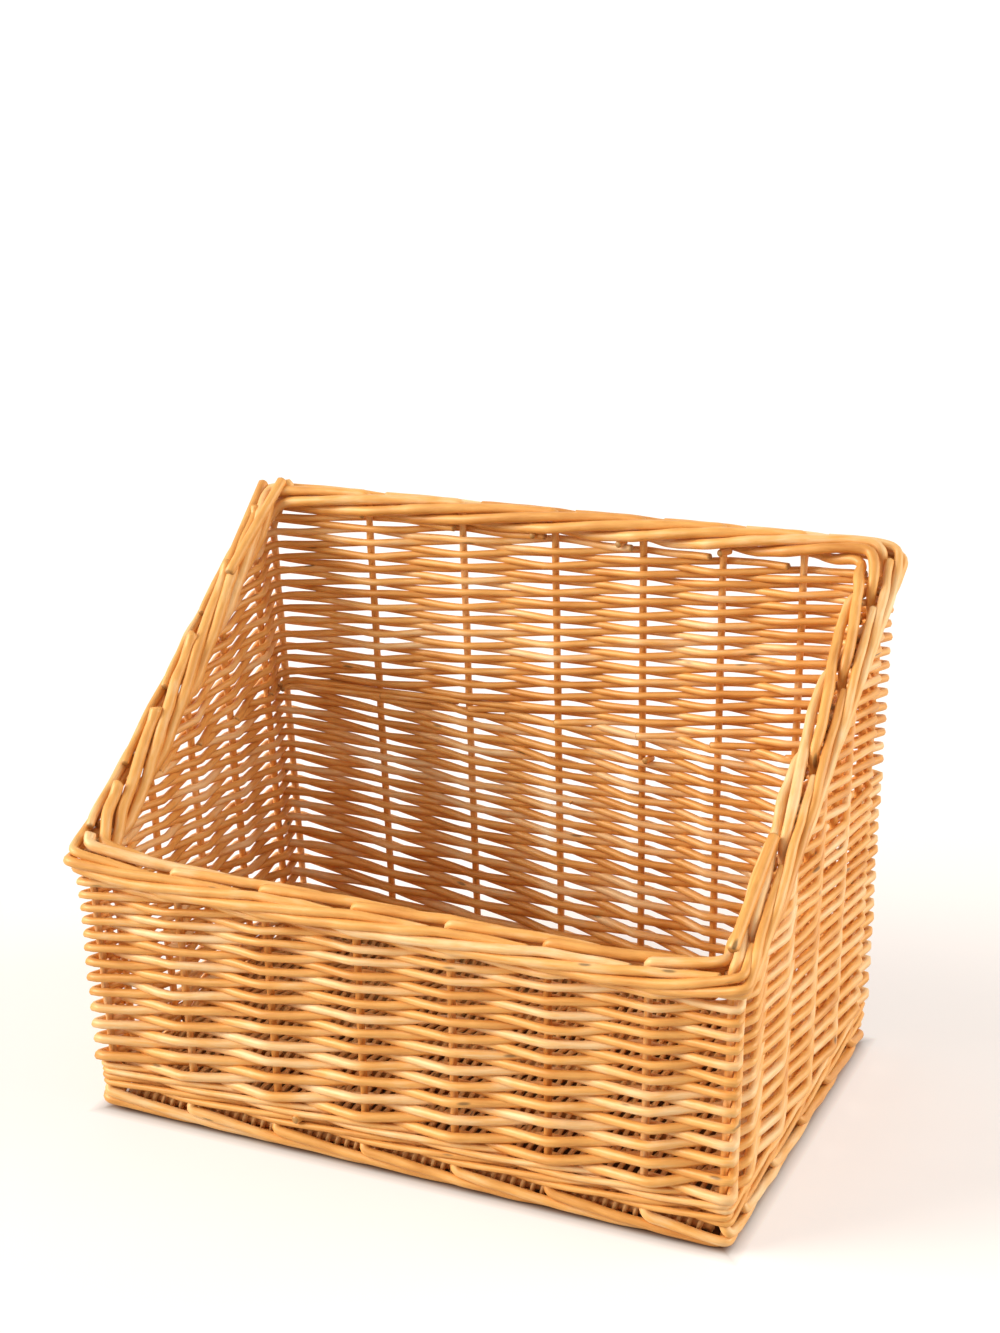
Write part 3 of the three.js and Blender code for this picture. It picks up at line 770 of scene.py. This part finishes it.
def head_of(stake):
    """Bays that a stake's head leans back, the height at which it turns over, and its radius."""
    falling = -float(line_at(place_of(np.array([float(stake)])))[2][0])
    lean = HEAD_LEAN * max(falling, 0.0)
    rim = float(rim_height(place_of(np.array([stake - lean])))[0])
    return lean, rim - HEAD_DROP + HEAD_RISE * falling, BORDER_RADIUS + HEAD_SWELL * max(falling, 0.0)


def upright_rows(stake, lean, top, head_radius):
    """The upright part, from the kink at the foot to the head: its lean grows evenly near the top."""
    rise = np.concatenate([KNEE_HEIGHTS[:2], np.linspace(KNEE_HEIGHTS[2], top, UPRIGHT_SAMPLES)])
    out = np.interp(rise, KNEE_HEIGHTS, KNEE_OUTS)
    leaning = lean * np.clip((rise - top) / LEAN_HEIGHT + 1, 0.0, 1.0)
    heights = [THICK_FOOT, THIN_FROM, top - HEAD_LENGTH, top]
    radius = np.interp(rise, heights, [FOOT_RADIUS, UPRIGHT_RADIUS, UPRIGHT_RADIUS, head_radius])
    return path_rows(place_of(stake - leaning), out, rise, radius)


print("heads turn over at", [round(head_of(stake)[1]) for stake in range(0, STAKES, 5)], "mm")

# %% [markdown]
# The top end of a stake is laid down to the right: inside the next stakes, then between two of them to
# the outside, and up again over the edge until its tip is held under the head of another stake. The
# lays give its distance out from the line of the stakes and up from the rim, bay by bay; straight
# lines join them and a running mean rounds the kinks off, as the willow itself does.
# Along the back the tips show on top, elsewhere they sink between the rods.

# %% Border end of a stake
LAY_BAYS = [0.0, 0.5, 1.0, 1.5, 2.0, 2.5, 2.75, 3.0, 3.5, 4.0, 4.5, 5.0, 5.5, 5.8]
LAY_OUT = [0.6, -2.0, -5.8, -9.0, -9.4, -3.7, 1.5, 6.6, 8.6, 9.2, 8.4, 6.4, 4.4, 3.6]
LAY_UP = [-1.9, -2.0, -2.9, -5.4, -9.4, -13.2, -14.4, -13.9, -12.0, -9.4, -6.6, -3.8, -2.6, -2.8]
LAY_FIRST_BAY = 0.1
LEAN_BAYS = 2
THICK_BAYS = 2.0
TIP_RADIUS = 2.5
TIP_SHORTER = 0.5
TIP_SINK = 3.4
SINK_FROM = 4.9
BORDER_SAMPLES = 120


def border_rows(stake, lean, head_radius):
    """The border end, from the head to its tip, which ends sooner where it lies on the left side.

    On a slope the lay is measured square to the rim, so its height grows with the length of the slope.
    """
    _, _, tip_x, tip_y = line_at(place_of(np.array([stake + LAY_BAYS[-1]])))
    last_bay = LAY_BAYS[-1] - TIP_SHORTER * max(-tip_x[0], 0.0)
    bays = np.linspace(LAY_FIRST_BAY, last_bay, BORDER_SAMPLES)
    place = place_of(stake + bays - lean * np.clip(1 - bays / LEAN_BAYS, 0.0, 1.0))
    steep = np.hypot(1.0, RIM_SLOPE * line_at(place)[2])
    sunk = TIP_SINK * (1 - max(tip_y[0], 0.0)) * np.clip(bays - SINK_FROM, 0.0, 1.0)
    lay_up = np.interp(bays, LAY_BAYS, LAY_UP) - sunk
    out = np.interp(bays, LAY_BAYS, LAY_OUT)
    radius = np.interp(bays, [0.0, THICK_BAYS, last_bay], [head_radius, head_radius, TIP_RADIUS])
    return path_rows(place, out, rim_height(place) + lay_up * steep, radius)


print("a border end goes", -min(LAY_OUT), "mm inside the line of the stakes and", max(LAY_OUT), "mm outside")

# %% [markdown]
# Foot, upright and border end are joined into one path and spaced evenly before the rod is made. At two
# corners short straight rods lie on the border. They go into the same mesh as the corner stake there.

# %% Stakes
STAKE_STEP = 1.8
STAKE_ROUNDING = 1
SHORT_RADIUS = 3.3
SHORT_RINGS = 20
# Size and wavelength of the slow waves in and out and in the radius
STAKE_OUT_WAVE = (0.4, 45.0)
STAKE_SWELL = (0.22, 34.0)
# Both ends of each short rod: stake number, distance out and height over the rim
SHORT_RODS = {
    "corner_stake_back_left": [
        ((19.89, -2.8, 3.4), (21.8, -5.0, 1.4)),
        ((20.12, 4.0, 2.4), (21.7, 0.8, -1.4)),
    ],
    "corner_stake_front_right": [((8.9, -4.4, 2.2), (7.1, -4.0, 2.4))],
}


def stake_path(stake):
    """Rows of point, outward direction and radius from the tip at the ground to the tip in the border."""
    lean, top, head_radius = head_of(stake)
    upright = upright_rows(stake, lean, top, head_radius)
    return np.concatenate([foot_rows(stake), upright, border_rows(stake, lean, head_radius)])


def straight_rod(start, end):
    """A short straight rod lying on the border, between two places: stake number, out, over the rim."""
    number, out, over = np.array([start, end]).T
    ends, _ = wall_points(place_of(number), out, rim_height(place_of(number)) + over)
    share = np.linspace(0, 1, SHORT_RINGS)[:, None]
    points = ends[0] + (ends[1] - ends[0]) * share
    return rod(leaned(points), same_facing(UP, SHORT_RINGS), SHORT_RADIUS, THICK_SIDES)


for stake, name in enumerate(stake_names):
    path = evened(stake_path(stake), STAKE_STEP, STAKE_ROUNDING)
    length = lengths_along(path[:, :3])
    outward = path[:, 3:6]
    points = path[:, :3] + outward * slow_wave(length, *STAKE_OUT_WAVE)[:, None]
    radius = path[:, 6] + slow_wave(length, *STAKE_SWELL)
    rods = [rod(leaned(points), outward, radius, THICK_SIDES)]
    rods.extend(straight_rod(*ends) for ends in SHORT_RODS.get(name, []))
    make_piece("rod_" + name, rods, [name], stake_willow)

# %% [markdown]
# The base is woven first, flat on the bench: seven sticks lie from side to side, one at the front edge,
# one at the back edge and five between. The base is a little domed, so that the basket stands on its
# foot border. A stick is the plainest rod of all: straight, with only slow waves in it.

# %% Base sticks
STICK_RADIUS = 3.0
STICK_SIDES = 12
STICK_RINGS = 90
STICK_INSET = 2.5
STICK_END = 1
STICK_PLAY = 0.1
BASE_MIDDLE = 14.4
BASE_DROOP = 6.4
DROOP_POWER = 4
BASE_HALF = 186.5
EDGE = 112.6
MIDDLE_STICKS = 5
FIRST_SIDE_STAKE = 8
# Size and wavelength of the slow waves back and forth and in the radius
STICK_WAVE = (0.4, 120.0)
STICK_SWELL = (0.15, 60.0)


def base_level(y):
    """Height of the middle of the base: nearly flat, and lower towards the front and back edges."""
    return BASE_MIDDLE - BASE_DROOP * np.minimum(np.abs(y) / EDGE, 1.0) ** DROOP_POWER


stick_names = ["base_edge_stick_front"]
stick_names.extend(f"base_stick_{count + 1}" for count in range(MIDDLE_STICKS))
stick_names.append("base_edge_stick_back")
side_stakes = np.array(stake_places)[FIRST_SIDE_STAKE:FIRST_SIDE_STAKE + MIDDLE_STICKS]
stick_y = np.concatenate([[-EDGE], line_at(side_stakes)[1], [EDGE]])
for name, y in zip(stick_names, stick_y):
    half = BASE_HALF if "edge" in name else HALF_WIDTH - STICK_INSET
    x = np.linspace(-half + STICK_END, half - STICK_END, STICK_RINGS)
    length = x - x[0]
    points = np.stack([x, y + slow_wave(length, *STICK_WAVE), base_level(y) + 0 * x], axis=1)
    radius = STICK_RADIUS - STICK_PLAY + slow_wave(length, *STICK_SWELL)
    stick = rod(leaned(points), same_facing(UP, STICK_RINGS), radius, STICK_SIDES)
    make_piece("rod_" + name, [stick], [name], base_willow)

# %% [markdown]
# One weaver after another goes over and under the base sticks from front to back, round the edge stick
# and back again. One long path does it all: crossing the sticks it is a cosine up and down, and at an
# edge it is half a circle. Separate rods would be truer, but where they are joined isn't known.

# %% Base weaver
BASE_WEAVER_RADIUS = 1.5
WEAVER_STEP = 3.1
CROSSING_SAMPLES = 49
TURN_SAMPLES = 8
BASE_SWELL = (0.1, 50.0)

base_reach = STICK_RADIUS + BASE_WEAVER_RADIUS
passes = int(2 * BASE_HALF / WEAVER_STEP)
across_y = np.linspace(-EDGE, EDGE, CROSSING_SAMPLES)
wave = np.cos(math.pi * np.interp(across_y, stick_y, np.arange(len(stick_y))))
around = np.linspace(0, math.pi, TURN_SAMPLES)[1:-1]
base_points = []
for pass_index in range(passes):
    sign = 1 if pass_index % 2 == 0 else -1
    x = -BASE_HALF + WEAVER_STEP * (pass_index + 0.5)
    crossing_x = np.full(CROSSING_SAMPLES, x)
    straight = np.stack([crossing_x, sign * across_y, sign * base_reach * wave], axis=1)
    turn_x = x + WEAVER_STEP * around / math.pi
    turn_y = sign * (EDGE + base_reach * np.sin(around))
    turn = np.stack([turn_x, turn_y, sign * base_reach * np.cos(around)], axis=1)
    base_points.extend([straight, turn])
base_path = np.concatenate(base_points[:-1])
base_path[:, 2] += base_level(base_path[:, 1])
base_radius = BASE_WEAVER_RADIUS + slow_wave(base_path[:, 1], *BASE_SWELL)
base_rod = rod(leaned(base_path), same_facing([1.0, 0.0, 0.0], len(base_path)), base_radius)
make_piece("base_weave_rods", [base_rod], ["base_weave"], base_willow)

# %% [markdown]
# The basket stands on a plain pale floor that fills the picture. The floor only sends a little light
# back, so the rods keep dark undersides. To the camera it also glows a little, which makes it white and
# its shadow pale. Close to the basket the glow fades out, a painted shadow round its foot, and under the
# basket the floor is painted dark brown, a painted warm shade, so that the gaps over the foot border
# look warm and dark. How far a place is from the basket's outline is the larger of its distances past
# the sides and past the front or back.

# %% Floor
UNDER_BASKET = (0.190, 0.116, 0.0)
FLOOR_DARK = (0.56, 0.53, 0.50, 1.0)
FLOOR_PALE = (0.60, 0.575, 0.55, 1.0)
# Dark brown painted on the floor under the basket: a painted warm shade, not the floor's own colour
FLOOR_PAINTED_SHADE = (0.20, 0.10, 0.04, 1.0)
FLOOR_GLOW = (1.0, 0.955, 0.925, 1.0)
FLOOR_CORNERS = [(-14, -8, 0), (14, -8, 0), (14, 20, 0), (-14, 20, 0)]


def larger(tree, first, second):
    """A node for the larger of two values."""
    return add_node(tree, "Math", {0: first, 1: second}, operation="MAXIMUM")


def seen_directly(tree):
    """A node that is 1 where the camera sees a surface, also in a reflection or through glass, else 0."""
    ray = add_node(tree, "LightPath", {})
    reflected = larger(tree, (ray, "Is Glossy Ray"), (ray, "Is Transmission Ray"))
    return larger(tree, (ray, "Is Camera Ray"), (reflected, "Value"))


floor_material, floor_tree, floor_skin = new_material("floor_paper")
floor_place = add_node(floor_tree, "TexCoord", {})
floor_noise = add_node(floor_tree, "TexNoise", {"Vector": (floor_place, "Object"), "Scale": 3.0})
floor_colours = add_node(floor_tree, "ValToRGB", {"Fac": (floor_noise, "Fac")})
floor_colours.color_ramp.elements[0].color = FLOOR_DARK
floor_colours.color_ramp.elements[1].color = FLOOR_PALE
floor_apart = add_node(floor_tree, "VectorMath", {0: (floor_place, "Object")}, operation="ABSOLUTE")
past_outline = {0: (floor_apart, "Vector"), 1: UNDER_BASKET}
floor_beside = add_node(floor_tree, "VectorMath", past_outline, operation="SUBTRACT")
floor_sides = add_node(floor_tree, "SeparateXYZ", {"Vector": (floor_beside, "Vector")})
floor_far = larger(floor_tree, (floor_sides, "X"), (floor_sides, "Y"))
# Where the painted shade goes: under the basket, fading out just past its outline
painted_shade_under_basket = add_node(floor_tree, "MapRange", {
    "Value": (floor_far, "Value"), "From Min": 0.003, "From Max": 0.010,
})
floor_with_painted_shade = add_node(floor_tree, "Mix", {
    "Factor": (painted_shade_under_basket, "Result"), "A": FLOOR_PAINTED_SHADE, "B": (floor_colours, "Color"),
}, data_type="RGBA")
# The glow fades out close to the basket, which paints a shadow round its foot
glow_outside_painted_shadow = add_node(floor_tree, "MapRange", {
    "Value": (floor_far, "Value"), "From Min": 0.006, "From Max": 0.017, "To Max": 0.5,
})
seen_glow = {0: (seen_directly(floor_tree), "Value"), 1: (glow_outside_painted_shadow, "Result")}
floor_glow = add_node(floor_tree, "Math", seen_glow, operation="MULTIPLY")
set_inputs(floor_tree, floor_skin, {
    "Base Color": (floor_with_painted_shade, "Result"), "Roughness": 0.9, "Specular IOR Level": 0.1,
    "Emission Color": FLOOR_GLOW, "Emission Strength": (floor_glow, "Value"),
})
floor_mesh = bpy.data.meshes.new("floor")
floor_mesh.from_pydata(FLOOR_CORNERS, [], [(0, 1, 2, 3)])
floor_mesh.materials.append(floor_material)
floor = bpy.data.objects.new("floor", floor_mesh)
bpy.context.scene.collection.objects.link(floor)
print("floor of", len(floor_mesh.polygons), "face")

# %% [markdown]
# A low sun with a wide disc from the left rakes along the front, a weaker one from the right behind
# lights the right wall, and an even sky fills in the rest. Area lamps would do as well, but the light
# of a sun is as strong everywhere, so it stays right when the basket is moved. Where the camera sees the
# sky itself it is white, which puts no more light on the basket.

# %% Light
SKY = 0.48
SKY_COLOUR = (1.0, 0.98, 0.96, 1.0)


def make_sun(name, energy, disc, colour, travel):
    """A sun lamp whose light travels in the given direction, with a disc of so many degrees."""
    data = bpy.data.lights.new(name, "SUN")
    data.energy = energy
    data.angle = math.radians(disc)
    data.color = colour
    lamp = bpy.data.objects.new(name, data)
    lamp.rotation_euler = Vector(travel).to_track_quat("-Z", "Y").to_euler()
    bpy.context.scene.collection.objects.link(lamp)
    return lamp


left_sun = make_sun("left_sun", 3.5, 38, (1.0, 0.94, 0.87), (0.78, 0.43, -0.45))
right_sun = make_sun("right_sun", 2.2, 45, (1.0, 0.95, 0.90), (-0.90, -0.30, -0.32))
world = bpy.data.worlds.new("sky")
world.use_nodes = True
sky_tree = world.node_tree
sky_strength = add_node(sky_tree, "MapRange", {
    "Value": (seen_directly(sky_tree), "Value"), "To Min": SKY, "To Max": 1.0,
})
set_inputs(sky_tree, sky_tree.nodes["Background"], {
    "Color": SKY_COLOUR, "Strength": (sky_strength, "Result"),
})
bpy.context.scene.world = world
print("suns", left_sun.data.energy, right_sun.data.energy, "sky", SKY)

# %% [markdown]
# The camera looks down at the basket from the front right with a long lens. Its place and directions
# were found by matching the corners of the basket in the picture, so it is set by a matrix whose
# columns are right, up and backwards.

# %% Camera
SENSOR = 36.0
PICTURE_HEIGHT = 1333.0
FOCAL_LENGTH_IN_PIXELS = 2457.97

camera_data = bpy.data.cameras.new("camera")
camera_data.sensor_width = SENSOR
camera_data.lens = SENSOR * FOCAL_LENGTH_IN_PIXELS / PICTURE_HEIGHT
camera = bpy.data.objects.new("camera", camera_data)
camera.matrix_world = Matrix((
    (0.9093, -0.1300, 0.3952, 0.5707),
    (0.4155, 0.3333, -0.8464, -1.1945),
    (-0.0217, 0.9338, 0.3571, 0.7744),
    (0.0, 0.0, 0.0, 1.0),
))
bpy.context.scene.collection.objects.link(camera)
bpy.context.scene.camera = camera
bpy.context.scene.view_settings.view_transform = "Standard"
print("camera with a lens of", round(camera_data.lens, 1), "mm")

# %% [markdown]
# Last, the scene is brought up to date.

# %% Finish
bpy.context.view_layer.update()
